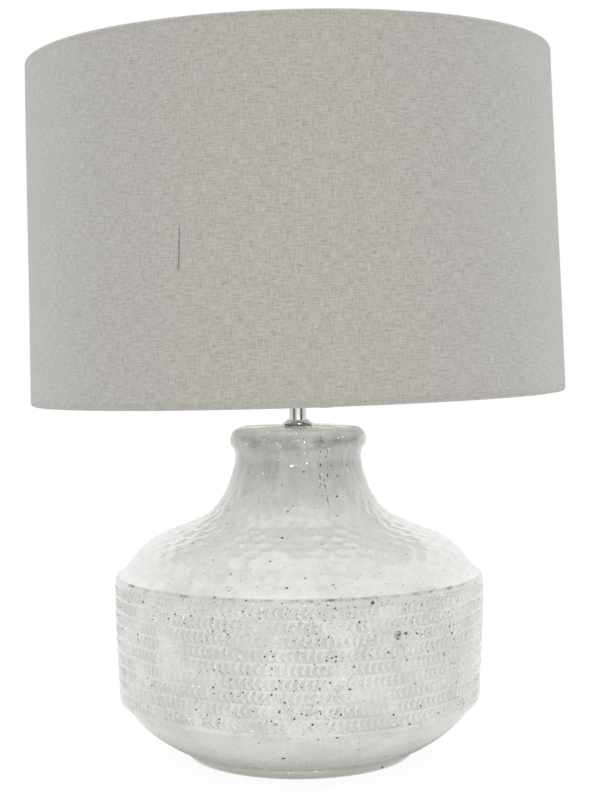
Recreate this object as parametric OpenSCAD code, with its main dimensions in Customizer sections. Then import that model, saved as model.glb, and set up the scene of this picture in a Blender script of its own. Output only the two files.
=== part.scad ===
// Table lamp: a waisted glass base with a ridged band, a chrome stem, a screw lampholder
// and a slightly tapered linen drum shade that stands a little off plumb.
// Millimetres, +Z up, origin on the table under the lamp's axis, the cable hole on +Y.

/* [Glass base] */
// Height of the glass at its centre, from the table
base_h = 249.2; // [220:0.1:300]
// Largest radius of the ridged band
band_r = 139.3; // [120:0.1:165]
// Radius of the band's lower edge
band_low_r = 136.8; // [118:0.1:160]
// Height of the band's lower edge
band_z = 46; // [40:0.5:60]
// Height of the ridge at the band's upper edge
ridge_z = 137; // [120:0.5:160]
// Radius of the neck at its narrowest
neck_r = 48.3; // [40:0.1:60]
// Radius of the rolled lip
lip_r = 52.2; // [44:0.1:66]
// Radius of the lip's rounding
lip_round = 9.7; // [7:0.1:11]
// Radius of the foot
foot_r = 87; // [70:0.1:96]
// Height of the foot
foot_h = 8; // [6:0.5:10]
// Thickness of the glass
wall = 4; // [3:0.1:5]

/* [Underside] */
// Height of the foot's glass over the table
foot_lift = 0.5; // [0.3:0.1:1]
// Thickness of the felt
felt_t = 2; // [1.2:0.1:3]
// Radius of the recess in the foot
recess_r = 74; // [58:0.5:76]
// Radius of the opening that the bottom plate closes
opening_r = 50; // [40:1:54]
// Thickness of the bottom plate
plate_t = 2; // [1:0.1:3]

/* [Cable inlet] */
// Radius of the hole through the grommet
inlet_r = 3.4; // [2.6:0.1:4]
// Radius of the hole through the glass
inlet_hole_r = 5.2; // [4.8:0.1:7]
// Radius of the grommet's outer flange
grommet_flange_r = 7.5; // [7.4:0.1:9]

/* [Stem] */
// Outer radius of the chrome tube
stem_r = 6.65; // [6:0.05:8]
// Radius of the flange under the tube
flange_r = 11.4; // [9:0.1:16]
// Height of the lampholder's underside over the glass
stem_h = 18; // [14:0.5:40]
// Outer radius of the threaded nipple
nipple_r = 5; // [4:0.1:5.2]
// Radius of the wire way through the nipple
wireway_r = 3.6; // [3:0.1:3.8]

/* [Lampholder] */
// Radius over the lampholder's outside thread
holder_r = 20; // [19:0.1:22]
// Width of the shoulder that carries the shade
shoulder_w = 3; // [2:0.1:4]
// Height of the lampholder's lower half
cap_h = 20; // [18:0.5:26]
// Height of the lampholder's upper half
skirt_h = 30; // [28:0.5:36]
// Width of the shade ring, from its thread to its grip
ring_w = 7; // [5:0.1:8]
// Height of the shade ring
ring_h = 8; // [5:0.1:10]

/* [Shade] */
// Outer radius at the shade's lower edge
shade_low_r = 200; // [150:1:240]
// Outer radius at the shade's upper edge
shade_top_r = 195; // [140:1:240]
// Height of the shade
shade_h = 252; // [180:1:300]
// Gap between the glass and the shade's lower edge
shade_gap = 21.1; // [16:0.1:30]
// How far the drum leans towards -X, in degrees
shade_lean = 1.3; // [0:0.1:2]
// Thickness of the fabric
fabric_t = 0.8; // [0.5:0.1:1.2]
// Thickness of the stiff liner
liner_t = 0.6; // [0.3:0.1:1]
// Radius of the wire of the two hoops
hoop_wire_r = 1.7; // [1.2:0.1:2.2]
// Radius of the wire of the three arms
arm_wire_r = 1.5; // [1.2:0.1:1.6]

/* [Bulb] */
// Radius of the opal globe
bulb_r = 30; // [22:0.5:34]
// Length of the bulb
bulb_l = 110; // [95:1:125]

/* [Hidden] */
$fn = 96;

run = 0.08;      // radial clearance of a turning or sliding fit
gap = 0.3;       // gap between faces of two bodies
snug = 0.05;     // radial clearance between two fixed pieces

// Heights
foot_top_z = foot_lift + foot_h;
recess_z = felt_t + plate_t;
floor_z = foot_top_z + wall;
ceiling_z = base_h - wall - 1;
lip_z = base_h - 1 - lip_round;
neck_z = lip_z - lip_round * 1.47;
holder_z = base_h + stem_h;
shoulder_t = 2.2;
shoulder_r = holder_r + shoulder_w;
ring_r = holder_r + ring_w;
shoulder_z = holder_z + cap_h;
fitter_t = 1.2;
fitter_z = shoulder_z + shoulder_t + gap;
ring_z = fitter_z + fitter_t + gap;
skirt_top_z = shoulder_z + skirt_h;
shade_z = base_h + shade_gap;

// ---- Curves ----

function mix(a, b, t) = a + (b - a) * t;

function catmull(a, b, c, d, t) =
    0.5 * (2 * b + (c - a) * t + (2 * a - 5 * b + 4 * c - d) * t * t
        + (3 * b - a - 3 * c + d) * t * t * t);

// A smooth line through points, with n steps between each two
function smooth_line(points, n) =
    let (last = len(points) - 1)
    [
        for (i = [0:last - 1])
            for (k = [0:n - 1])
                catmull(points[max(i - 1, 0)], points[i], points[i + 1],
                    points[min(i + 2, last)], k / n),
        points[last],
    ];

function arc(centre, r, from, to, n) =
    [for (k = [0:n]) let (a = mix(from, to, k / n)) centre + r * [cos(a), sin(a)]];

// The line moved sideways by d, to the left of its direction
function inset(line, d) =
    [
        for (i = [1:len(line) - 2])
            let (along = line[i + 1] - line[i - 1])
                line[i] + d * [-along[1], along[0]] / norm(along),
    ];

function backwards(line) = [for (i = [len(line) - 1:-1:0]) line[i]];

function part_of(line, from, to) = [for (i = [from:to]) line[i]];

// Points given as shares of the way from one point to another, in radius and height
function between(from, to, shares) =
    [for (s = shares) [mix(from[0], to[0], s[0]), mix(from[1], to[1], s[1])]];

// A row of V grooves down a cylinder, for a thread
function grooves(r, depth, z0, z1, pitch) =
    let (n = floor((z1 - z0) / pitch), step = (z1 - z0) / n)
    [
        for (i = [0:n - 1])
            each [[r, z0 + step * i], [r - depth, z0 + step * (i + 0.5)]],
        [r, z1],
    ];

// The bowl under the band and the shoulder over it, as shares of the way up
bowl_shares = [
    [0.02, 0.008], [0.2, 0.048], [0.37, 0.18], [0.55, 0.345], [0.72, 0.555],
    [0.845, 0.752], [0.93, 0.872], [0.985, 0.95], [1, 1],
];
shoulder_shares = [
    [0, 0], [0.047, 0.025], [0.11, 0.103], [0.217, 0.231], [0.343, 0.32], [0.57, 0.421],
    [0.752, 0.507], [0.862, 0.617], [0.94, 0.762], [0.987, 0.92], [1, 1],
];

// The band bulges a little towards its upper edge
function band_radius(t) = mix(band_r, band_low_r, pow(1 - t, 2));

// ---- Glass base ----

foot_round = foot_h * 0.55;
foot_groove = 0.8;
band_rim = 3.2;   // from the band's marks up to the ridge
bowl_line = smooth_line(
    between([foot_r, foot_top_z], [band_low_r, band_z], bowl_shares), 4);
lip_line = arc([lip_r - lip_round, lip_z], lip_round, -42, 90, 14);
shoulder_line = smooth_line(
    concat(
        between([band_r, ridge_z], [neck_r, neck_z], shoulder_shares),
        [[neck_r + 0.35, neck_z + 4], lip_line[0]]
    ), 4);
last_shoulder = len(shoulder_line) - 1;
nipple_hole_r = nipple_r + 0.6;

band_line = [for (k = [0:8]) [band_radius(k / 8), mix(band_z, ridge_z - band_rim, k / 8)]];

// The band's rounded top edge and the groove over it, as inwards and up from the ridge
ridge_line = [
    for (p = [[0.35, -1.9], [1.4, -0.6], [2.6, 0.25], [2.25, 1.1]])
        [band_r - p[0], ridge_z + p[1]],
];

glass_outside = concat(
    arc([foot_r - foot_round, foot_lift + foot_round], foot_round, -90, 0, 6),
    [[foot_r, foot_top_z - 1.6], [foot_r - foot_groove, foot_top_z - 0.8]],
    bowl_line,
    part_of(band_line, 1, 8),
    ridge_line,
    part_of(shoulder_line, 3, last_shoulder),
    part_of(lip_line, 1, 14),
    [[nipple_hole_r + 9, base_h], [nipple_hole_r, base_h]]
);

glass_inside = concat(
    [[nipple_hole_r, ceiling_z], [neck_r - wall - 8, ceiling_z]],
    backwards(inset(part_of(shoulder_line, 8, last_shoulder), wall)),
    backwards(inset(band_line, wall)),
    backwards(inset(bowl_line, wall)),
    [[foot_r - 1, floor_z], [opening_r, floor_z], [opening_r, recess_z],
        [recess_r, recess_z], [recess_r, foot_lift]]
);

// Place and slope of the cable hole, on the middle of the bowl
inlet_index = 13;
inlet_at = bowl_line[inlet_index];
inlet_along = bowl_line[inlet_index + 1] - bowl_line[inlet_index - 1];
inlet_slope = atan2(-inlet_along[0], inlet_along[1]);

module at_inlet() {
    translate([0, inlet_at[0], inlet_at[1]])
        rotate([inlet_slope - 90, 0, 0])
            children();
}

module glass_base() {
    color([0.87, 0.875, 0.86])
        difference() {
            rotate_extrude()
                polygon(concat(glass_outside, glass_inside));
            at_inlet()
                translate([0, 0, -4 * wall])
                    cylinder(h = 6 * wall, r = inlet_hole_r);
        }
}

module felt_pad() {
    color([0.30, 0.29, 0.28])
        cylinder(h = felt_t, r = recess_r - 1.5);
}

module bottom_plate() {
    color([0.20, 0.20, 0.21])
        translate([0, 0, felt_t])
            cylinder(h = plate_t, r = recess_r - 0.5);
}

module cable_grommet() {
    flange_t = 1.6;
    tail = wall + 3;
    color([0.85, 0.85, 0.83])
        at_inlet()
            rotate_extrude()
                polygon([
                    [inlet_r, -tail], [inlet_hole_r - 0.6, -tail],
                    [inlet_hole_r - snug, -tail + 1.2], [inlet_hole_r - snug, snug],
                    [grommet_flange_r, snug], [grommet_flange_r, flange_t - 0.7],
                    [grommet_flange_r - 0.7, flange_t], [inlet_r + 0.6, flange_t],
                    [inlet_r, flange_t - 0.6],
                ]);
}

// ---- Fastening at the neck ----

washer_t = 1.5;
nut_h = 5;
clamp_z = ceiling_z - washer_t;
nut_z = clamp_z - washer_t - 0.8 - nut_h;
nipple_low_z = nut_z - 3;
nipple_top_z = holder_z + 7.5;

module flat_ring(r_out, r_in, z, t) {
    translate([0, 0, z])
        difference() {
            cylinder(h = t, r = r_out);
            translate([0, 0, -1])
                cylinder(h = t + 2, r = r_in);
        }
}

module threaded_nipple() {
    color([0.72, 0.68, 0.55])
        rotate_extrude()
            polygon(concat(
                [[wireway_r, nipple_low_z]],
                grooves(nipple_r, 0.45, nipple_low_z, nipple_top_z, 1.2),
                [[wireway_r, nipple_top_z]]
            ));
}

module hex_nut() {
    color([0.74, 0.74, 0.72])
        translate([0, 0, nut_z])
            difference() {
                cylinder(h = nut_h, r = nipple_r + 4.4, $fn = 6);
                translate([0, 0, -1])
                    cylinder(h = nut_h + 2, r = nipple_r + snug);
            }
}

module lock_washer() {
    teeth = 10;
    color([0.62, 0.62, 0.62])
        difference() {
            flat_ring(nipple_r + 3.6, nipple_r + 0.2, nut_z + nut_h, 0.8);
            for (i = [0:teeth - 1])
                rotate([0, 0, i * 360 / teeth])
                    translate([nipple_r + 2.4, -0.5, nut_z + nut_h - 1])
                        cube([3, 1, 3]);
        }
}

module steel_washer() {
    color([0.76, 0.76, 0.75])
        flat_ring(nipple_r + 14, nipple_r + 0.2, clamp_z - washer_t, washer_t);
}

module rubber_washer() {
    color([0.15, 0.15, 0.15])
        flat_ring(nipple_r + 12, nipple_r + 0.2, clamp_z, washer_t);
}

// ---- Stem ----

seat_t = 0.6;
flange_h = 2.6;
tube_seat_z = base_h + seat_t + 1;

module seat_washer() {
    color([0.93, 0.93, 0.92])
        flat_ring(flange_r - 1.2, nipple_r + 0.2, base_h, seat_t);
}

module stem_flange() {
    low = base_h + seat_t;
    color([0.80, 0.80, 0.81])
        rotate_extrude()
            polygon(concat(
                [[nipple_r + 0.2, low], [flange_r - 0.3, low], [flange_r, low + 0.3]],
                arc([flange_r + 0.3, low + flange_h + 2.4], flange_r - stem_r - 0.7,
                    -95, -152, 7),
                [[stem_r + snug, low + flange_h], [stem_r + snug, tube_seat_z],
                    [nipple_r + 0.2, tube_seat_z]]
            ));
}

module stem_tube() {
    color([0.84, 0.84, 0.85])
        flat_ring(stem_r, nipple_r + 0.5, tube_seat_z, holder_z - tube_seat_z);
}

// ---- Lampholder ----

cap_wall = 2;
boss_r = nipple_r + 5;
boss_h = 4.5;
spigot_r = holder_r - cap_wall - snug;
core_r = spigot_r - 2;
core_low_z = holder_z + boss_h + 5.5;
core_top_z = shoulder_z + 1;
shell_r = 14.6;
shell_low_z = core_top_z;
shell_top_z = skirt_top_z - 5;

module holder_cap() {
    color([0.93, 0.93, 0.91])
        difference() {
            rotate_extrude()
                polygon(concat(
                    [[nipple_r + snug, holder_z], [boss_r - 0.5, holder_z],
                        [boss_r, holder_z + 0.5], [boss_r, holder_z + boss_h]],
                    arc([holder_r - 7, holder_z + boss_h + 7], 7, -60, 0, 6),
                    [[holder_r, shoulder_z], [holder_r - cap_wall, shoulder_z],
                        [holder_r - cap_wall, holder_z + boss_h + 6],
                        [holder_r - cap_wall - 3, holder_z + boss_h + 3],
                        [nipple_r + snug, holder_z + boss_h + 3]]
                ));
            translate([0, 0, holder_z + boss_h / 2])
                rotate([90, 0, 0])
                    cylinder(h = boss_r + 1, r = 1.5);
        }
}

module cap_lock_screw() {
    reach = boss_r - nipple_r - 0.4;
    color([0.70, 0.70, 0.71])
        translate([0, -nipple_r - 0.2, holder_z + boss_h / 2])
            rotate([90, 0, 0])
                difference() {
                    cylinder(h = reach, r = 1.5 - snug);
                    translate([-0.3, -2, reach - 0.8])
                        cube([0.6, 4, 2]);
                }
}

terminal_x = 9;
terminal_w = 6;
terminal_h = 6;

module holder_core() {
    color([0.90, 0.89, 0.86])
        difference() {
            translate([0, 0, core_low_z])
                cylinder(h = core_top_z - core_low_z, r = core_r);
            for (side = [-1, 1])
                translate([side * terminal_x - (terminal_w + 0.4) / 2,
                    -(terminal_w + 0.4) / 2, core_low_z - 1])
                    cube([terminal_w + 0.4, terminal_w + 0.4, terminal_h + 1.4]);
            for (side = [-1, 1])
                translate([side * terminal_x - 2.9, -2.7, core_low_z])
                    cube([1.2, 5.4, core_top_z]);
        }
}

module terminal_blocks() {
    color([0.80, 0.68, 0.38])
        for (side = [-1, 1])
            translate([side * terminal_x, 0, core_low_z])
                difference() {
                    translate([-1.2, -terminal_w / 2, 0])
                        cube([terminal_w / 2 + 1, terminal_w, terminal_h]);
                    translate([0.6, 0, -1])
                        cylinder(h = terminal_h + 2, r = 1.5);
                    translate([0.6, terminal_w, terminal_h - 2.4])
                        rotate([90, 0, 0])
                            cylinder(h = 2 * terminal_w, r = 1.2);
                }
}

module terminal_screws() {
    head_h = 1.4;
    color([0.78, 0.77, 0.70])
        for (side = [-1, 1])
            translate([side * terminal_x + 0.6, 0, core_low_z - head_h])
                difference() {
                    union() {
                        cylinder(h = head_h, r = 2.2);
                        cylinder(h = head_h + 2.2, r = 1.45);
                    }
                    translate([-3, -0.3, -1])
                        cube([6, 0.6, 1.7]);
                }
}

// A bent strip of spring metal: a line in X and Z, thickened and given a width in Y
module strip(line, t, width) {
    last = len(line) - 1;
    function side(i) =
        let (d = line[min(i + 1, last)] - line[max(i - 1, 0)])
            [-d[1], d[0]] / norm(d) * t;
    translate([0, width / 2, 0])
        rotate([90, 0, 0])
            linear_extrude(height = width)
                polygon(concat(line, [for (i = [last:-1:0]) line[i] + side(i)]));
}

contact_t = 0.5;
tip_z = core_top_z + 4.4;

module centre_contact() {
    leg_x = -terminal_x - 1.9;
    color([0.83, 0.66, 0.36])
        strip([
            [leg_x, core_low_z + 1], [leg_x, core_top_z + 0.8],
            [leg_x + 1, core_top_z + 1.4], [-3, tip_z - 1], [0, tip_z - contact_t],
            [3, tip_z - 1.4],
        ], contact_t, 5);
}

module side_contact() {
    turn_z = core_top_z + 1;
    reach_x = shell_r - 0.7;
    color([0.83, 0.66, 0.36])
        strip([
            [terminal_x - 1.9, core_low_z + 1], [terminal_x - 1.9, turn_z - 0.6],
            [terminal_x - 1.1, turn_z], [reach_x - 1.2, turn_z], [reach_x, turn_z + 1],
        ], contact_t, 5);
}

module screw_shell() {
    t = 0.4;
    pitch = 3.6;
    turns = floor((shell_top_z - shell_low_z - 4) / pitch);
    wave = [for (i = [0:turns * 6])
        [shell_r - 0.45 + 0.4 * cos(i * 60), shell_low_z + 3 + i * pitch / 6]];
    color([0.80, 0.70, 0.45])
        rotate_extrude()
            polygon(concat(
                [[shell_r, shell_low_z]],
                wave,
                [[shell_r, shell_top_z], [shell_r - t, shell_top_z]],
                [for (i = [turns * 6:-1:0]) wave[i] - [t, 0]],
                [[shell_r - t, shell_low_z]]
            ));
}

module holder_skirt() {
    thread_low_z = shoulder_z + shoulder_t + 1;
    thread_top_z = skirt_top_z - 8;
    spigot_low_z = shoulder_z - 6;
    inner_r = shell_r + snug;
    color([0.93, 0.93, 0.91])
        rotate_extrude()
            polygon(concat(
                [[core_r + snug, spigot_low_z], [spigot_r, spigot_low_z],
                    [spigot_r, shoulder_z], [shoulder_r, shoulder_z],
                    [shoulder_r, shoulder_z + shoulder_t], [holder_r, shoulder_z + shoulder_t]],
                grooves(holder_r, 0.7, thread_low_z, thread_top_z, 2.5),
                [[holder_r - 2.4, thread_top_z + 1.5], [holder_r - 2.4, skirt_top_z - 1],
                    [holder_r - 3.2, skirt_top_z], [inner_r + 0.6, skirt_top_z],
                    [inner_r, skirt_top_z - 1], [inner_r, core_top_z + 0.2],
                    [core_r + snug, core_top_z + 0.2]]
            ));
}

// ---- Shade ring ----

module shade_ring() {
    ribs = 24;
    rib_r = 0.9;
    color([0.93, 0.93, 0.91])
        difference() {
            rotate_extrude()
                polygon([
                    [holder_r + run, ring_z], [ring_r - 0.6, ring_z], [ring_r, ring_z + 0.6],
                    [ring_r, ring_z + 3], [ring_r - 2.6, ring_z + 3.6],
                    [ring_r - 3, ring_z + ring_h - 0.6], [ring_r - 3.6, ring_z + ring_h],
                    [holder_r + run, ring_z + ring_h],
                ]);
            for (i = [0:ribs - 1])
                rotate([0, 0, i * 360 / ribs])
                    translate([ring_r + 0.2, 0, ring_z - 1])
                        cylinder(h = 6, r = rib_r);
        }
}

// ---- Shade ----

hook_in = hoop_wire_r * 2 + 1.8;          // inner face of the hem's fold, from the outside
hook_h = fabric_t + hoop_wire_r * 2 + 1.3;
hoop_in = fabric_t + 0.1 + hoop_wire_r;   // middle of the hoop wire, from the outside

function shade_radius(s) = mix(shade_low_r, shade_top_r, s / shade_h);
// A point s up the shade's wall and d in from its outside
function wall_point(s, d) = [shade_radius(s) - d, s];

module lean() {
    translate([0, 0, fitter_z])
        rotate([0, -shade_lean, 0])
            translate([0, 0, shade_z - fitter_z])
                children();
}

module shade_fabric() {
    fold = [[0, hook_in + fabric_t], [hook_h, hook_in + fabric_t], [hook_h, hook_in],
        [fabric_t, hook_in], [fabric_t, fabric_t]];
    low = [for (p = fold) wall_point(p[0], p[1])];
    high = [for (i = [4:-1:0]) wall_point(shade_h - fold[i][0], fold[i][1])];
    color([0.73, 0.71, 0.68])
        lean()
            rotate_extrude($fn = 180)
                polygon(concat([wall_point(shade_h, 0), wall_point(0, 0)], low, high));
}

module shade_liner() {
    end = hook_h + 0.5;
    out = fabric_t + snug;
    color([0.95, 0.94, 0.91])
        lean()
            rotate_extrude($fn = 180)
                polygon([
                    wall_point(end, out), wall_point(shade_h - end, out),
                    wall_point(shade_h - end, out + liner_t), wall_point(end, out + liner_t),
                ]);
}

module hoop(s) {
    color([0.92, 0.92, 0.91])
        lean()
            rotate_extrude($fn = 180)
                translate(wall_point(s, hoop_in))
                    circle(r = hoop_wire_r, $fn = 32);
}

module top_hoop() { hoop(shade_h - hoop_in); }

module bottom_hoop() { hoop(hoop_in); }

fitter_r = shoulder_r + 10;
fitter_hole_r = holder_r + 0.5;

module fitter_washer() {
    color([0.92, 0.92, 0.91])
        flat_ring(fitter_r, fitter_hole_r, fitter_z, fitter_t);
}

// A wire along a line of points
module wire(line, r, sides) {
    last = len(line) - 1;
    up = [0, 0, 1];
    function along(i) =
        let (d = line[min(i + 1, last)] - line[max(i - 1, 0)]) d / norm(d);
    function across(i) = let (c = cross(along(i), [0, 1, 0])) c / norm(c);
    rings = [
        for (i = [0:last])
            for (k = [0:sides - 1])
                line[i] + r * (cos(k * 360 / sides) * [0, 1, 0]
                    + sin(k * 360 / sides) * across(i)),
    ];
    walls = [
        for (i = [0:last - 1])
            for (k = [0:sides - 1])
                let (n = (k + 1) % sides)
                    [i * sides + k, i * sides + n, (i + 1) * sides + n, (i + 1) * sides + k],
    ];
    ends = [[for (k = [sides - 1:-1:0]) k], [for (k = [0:sides - 1]) last * sides + k]];
    polyhedron(points = rings, faces = concat(walls, ends), convexity = 4);
}

// Each arm runs level off the washer, falls outwards and turns down onto the lower hoop
module spider_arms() {
    weld_r = ring_r + gap + 2;
    mid_z = fitter_z + fitter_t / 2;
    for (turn = [90, 210, 330])
        let (
            beside = hoop_in + 0.5,
            tip_up = shade_z - fitter_z,
            rim = function (d, s)
                let (
                    x = shade_radius(s) - d,
                    fore = x * cos(turn) * cos(shade_lean) - (s + tip_up) * sin(shade_lean),
                    rise = x * cos(turn) * sin(shade_lean) + (s + tip_up) * cos(shade_lean)
                )
                [fore * cos(turn) + x * sin(turn) * sin(turn), 0, fitter_z + rise],
            corner = hook_h + arm_wire_r + 0.6,
            knots = [
                [weld_r, 0, mid_z], [weld_r + 12, 0, mid_z],
                rim(beside + 6, corner), rim(beside + 1.5, corner - 0.6),
                rim(beside, corner - 2.4), rim(beside, hoop_in),
            ]
        )
            color([0.92, 0.92, 0.91])
                rotate([0, 0, turn])
                    wire(knots, arm_wire_r, 12);
}

// ---- Bulb ----

bulb_z = tip_z + gap;
thread_r = shell_r - 1.55;
cap_top = 24;
globe_z = bulb_l - bulb_r;        // middle of the globe, over the tip
joint_z = globe_z - bulb_r * 0.5; // where the globe meets the body
joint_r = bulb_r * cos(30);

module turned(points) {
    translate([0, 0, bulb_z])
        rotate_extrude()
            polygon(points);
}

module bulb_tip() {
    color([0.75, 0.75, 0.74])
        turned(concat([[0, 0]], arc([0, 4.4], 4.4, -88, -55, 5), [[2.6, 1.6], [0, 1.6]]));
}

module bulb_insulator() {
    color([0.12, 0.12, 0.13])
        turned([[0, 1.6], [3.4, 1.6], [6.2, 2.2], [9, 4.6], [9, 5.4], [0, 5.4]]);
}

module bulb_cap() {
    t = 0.5;
    low = 5.4;
    color([0.80, 0.80, 0.79])
        turned(concat(
            [[0, low], [9.4, low], [10.8, low + 0.8]],
            [for (i = [0:24]) [thread_r - 0.45 + 0.45 * cos(i * 60), low + 2 + i * 0.6]],
            [[thread_r - 0.5, cap_top - 1], [thread_r - 0.5, cap_top],
                [thread_r - 0.5 - t, cap_top], [thread_r - 1 - t, low + 3],
                [9, low + t], [0, low + t]]
        ));
}

body_line = smooth_line([
    [thread_r - 0.3, cap_top + 0.1], [thread_r + 0.6, cap_top + 4],
    [mix(thread_r, joint_r, 0.45), mix(cap_top, joint_z, 0.45)],
    [mix(thread_r, joint_r, 0.85), mix(cap_top, joint_z, 0.78)], [joint_r, joint_z],
], 5);

module bulb_body() {
    t = 1.8;
    last = len(body_line) - 1;
    color([0.94, 0.94, 0.93])
        turned(concat(
            body_line,
            [[joint_r - 0.9, joint_z], [joint_r - 0.9, joint_z + 1.5], [joint_r - 1.5 - t, joint_z + 1.5],
                [joint_r - 1.5 - t, joint_z - 4], [joint_r - 3 - t, joint_z - 4]],
            [for (i = [last - 4:-1:1]) body_line[i] - [t, 0]],
            [[thread_r - 3, cap_top + 0.1]]
        ));
}

module bulb_globe() {
    t = 1.2;
    inner = joint_r - 0.9 + snug;
    color([0.96, 0.96, 0.94])
        turned(concat(
            [[joint_r, joint_z + 0.05]],
            arc([0, globe_z], bulb_r, -30, 90, 20),
            [[0, globe_z + bulb_r - t]],
            arc([0, globe_z], bulb_r - t, 89, -26, 18),
            [[inner, joint_z + 1.8], [inner, joint_z + 0.05]]
        ));
}

board_r = joint_r - 1.5 - 1.8 - snug;
board_z = joint_z - 2.2;

module led_board() {
    color([0.85, 0.86, 0.86])
        flat_ring(board_r, 2, bulb_z + board_z, 1.6);
}

module led_chips() {
    count = 10;
    color([0.93, 0.86, 0.45])
        for (i = [0:count - 1])
            rotate([0, 0, i * 360 / count])
                translate([board_r * 0.66 - 1.4, -1.75, bulb_z + board_z + 1.6])
                    cube([2.8, 3.5, 0.8]);
}

module driver_board() {
    top = board_z - 3;
    color([0.20, 0.42, 0.28])
        translate([0, 0, bulb_z]) {
            translate([-7, -0.6, 14])
                cube([14, 1.2, top - 14]);
            translate([0, -5.1, 20])
                cylinder(h = 14, r = 4.5);
        }
}

// ---- What is drawn ----

glass_base();
felt_pad();
bottom_plate();
cable_grommet();
threaded_nipple();
hex_nut();
lock_washer();
steel_washer();
rubber_washer();
seat_washer();
stem_flange();
stem_tube();
holder_cap();
cap_lock_screw();
holder_core();
terminal_blocks();
terminal_screws();
centre_contact();
side_contact();
screw_shell();
holder_skirt();
shade_ring();
shade_fabric();
shade_liner();
top_hoop();
bottom_hoop();
spider_arms();
fitter_washer();
bulb_globe();
bulb_body();
bulb_cap();
bulb_insulator();
bulb_tip();
led_board();
led_chips();
driver_board();
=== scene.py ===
"""A table lamp: a waisted base of washed glass, a chrome stem and a drum shade of grey linen."""

import math

import bpy
import numpy as np
from bpy.props import (
    FloatProperty,
    FloatVectorProperty,
    IntProperty,
    PointerProperty,
)
from mathutils import Matrix, Vector


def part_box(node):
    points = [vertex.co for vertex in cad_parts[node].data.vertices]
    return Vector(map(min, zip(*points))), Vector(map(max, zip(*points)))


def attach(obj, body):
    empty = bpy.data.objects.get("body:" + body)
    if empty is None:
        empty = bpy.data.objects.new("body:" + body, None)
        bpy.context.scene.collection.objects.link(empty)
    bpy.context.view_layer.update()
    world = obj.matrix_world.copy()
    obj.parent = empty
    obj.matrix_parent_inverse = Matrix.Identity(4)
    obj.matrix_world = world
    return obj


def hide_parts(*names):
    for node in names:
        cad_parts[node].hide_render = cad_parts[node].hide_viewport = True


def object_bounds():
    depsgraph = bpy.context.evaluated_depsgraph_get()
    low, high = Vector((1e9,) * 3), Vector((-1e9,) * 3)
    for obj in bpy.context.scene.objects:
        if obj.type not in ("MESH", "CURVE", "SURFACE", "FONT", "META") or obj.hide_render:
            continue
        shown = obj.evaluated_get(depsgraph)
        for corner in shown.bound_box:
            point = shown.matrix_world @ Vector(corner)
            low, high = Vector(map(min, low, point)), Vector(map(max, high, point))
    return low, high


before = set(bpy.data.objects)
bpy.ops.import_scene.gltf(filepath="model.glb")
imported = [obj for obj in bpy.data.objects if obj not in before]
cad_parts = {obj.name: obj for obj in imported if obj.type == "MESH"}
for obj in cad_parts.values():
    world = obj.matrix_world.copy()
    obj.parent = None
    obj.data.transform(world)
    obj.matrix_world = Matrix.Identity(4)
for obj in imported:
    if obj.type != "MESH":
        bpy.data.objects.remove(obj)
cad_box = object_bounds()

bl_info = {
    "name": "Linen Drum Lamp",
    "version": (1, 0, 0),
    "blender": (4, 5, 0),
    "location": "View3D > Sidebar > Lamp",
    "description": "Builds a table lamp with a moulded glass base and a linen drum shade",
    "category": "Add Mesh",
}

MM = 0.001
FULL_TURN = 2 * math.pi
WHITE = (1.0, 1.0, 1.0)

GLASS_LOW, GLASS_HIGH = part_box("glass_base")
CLOTH_LOW, CLOTH_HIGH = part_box("shade_fabric")
GROMMET_LOW, GROMMET_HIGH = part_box("cable_grommet")
FITTER_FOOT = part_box("fitter_washer")[0][2]


# ---------------------------------------------------------------- settings


def size(name, description, default, low=0.0, high=2.0):
    return FloatProperty(
        name=name, description=description, default=default, min=low, max=high,
        precision=5, unit="LENGTH", subtype="DISTANCE",
    )


def number(name, description, default, low=0.0, high=1.0, unit="NONE"):
    return FloatProperty(
        name=name, description=description, default=default, min=low, max=high, unit=unit,
    )


def slope(name, description, degrees):
    return FloatProperty(
        name=name, description=description, default=math.radians(degrees), subtype="ANGLE",
        unit="ROTATION",
    )


def total(name, description, default, low, high):
    return IntProperty(name=name, description=description, default=default, min=low, max=high)


def colour(name, description, default):
    return FloatVectorProperty(
        name=name, description=description, default=default, size=3, min=0.0, max=1.0,
        subtype="COLOR",
    )


def spot(name, description, default):
    return FloatVectorProperty(
        name=name, description=description, default=default, size=3, subtype="TRANSLATION",
        unit="LENGTH",
    )


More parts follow.
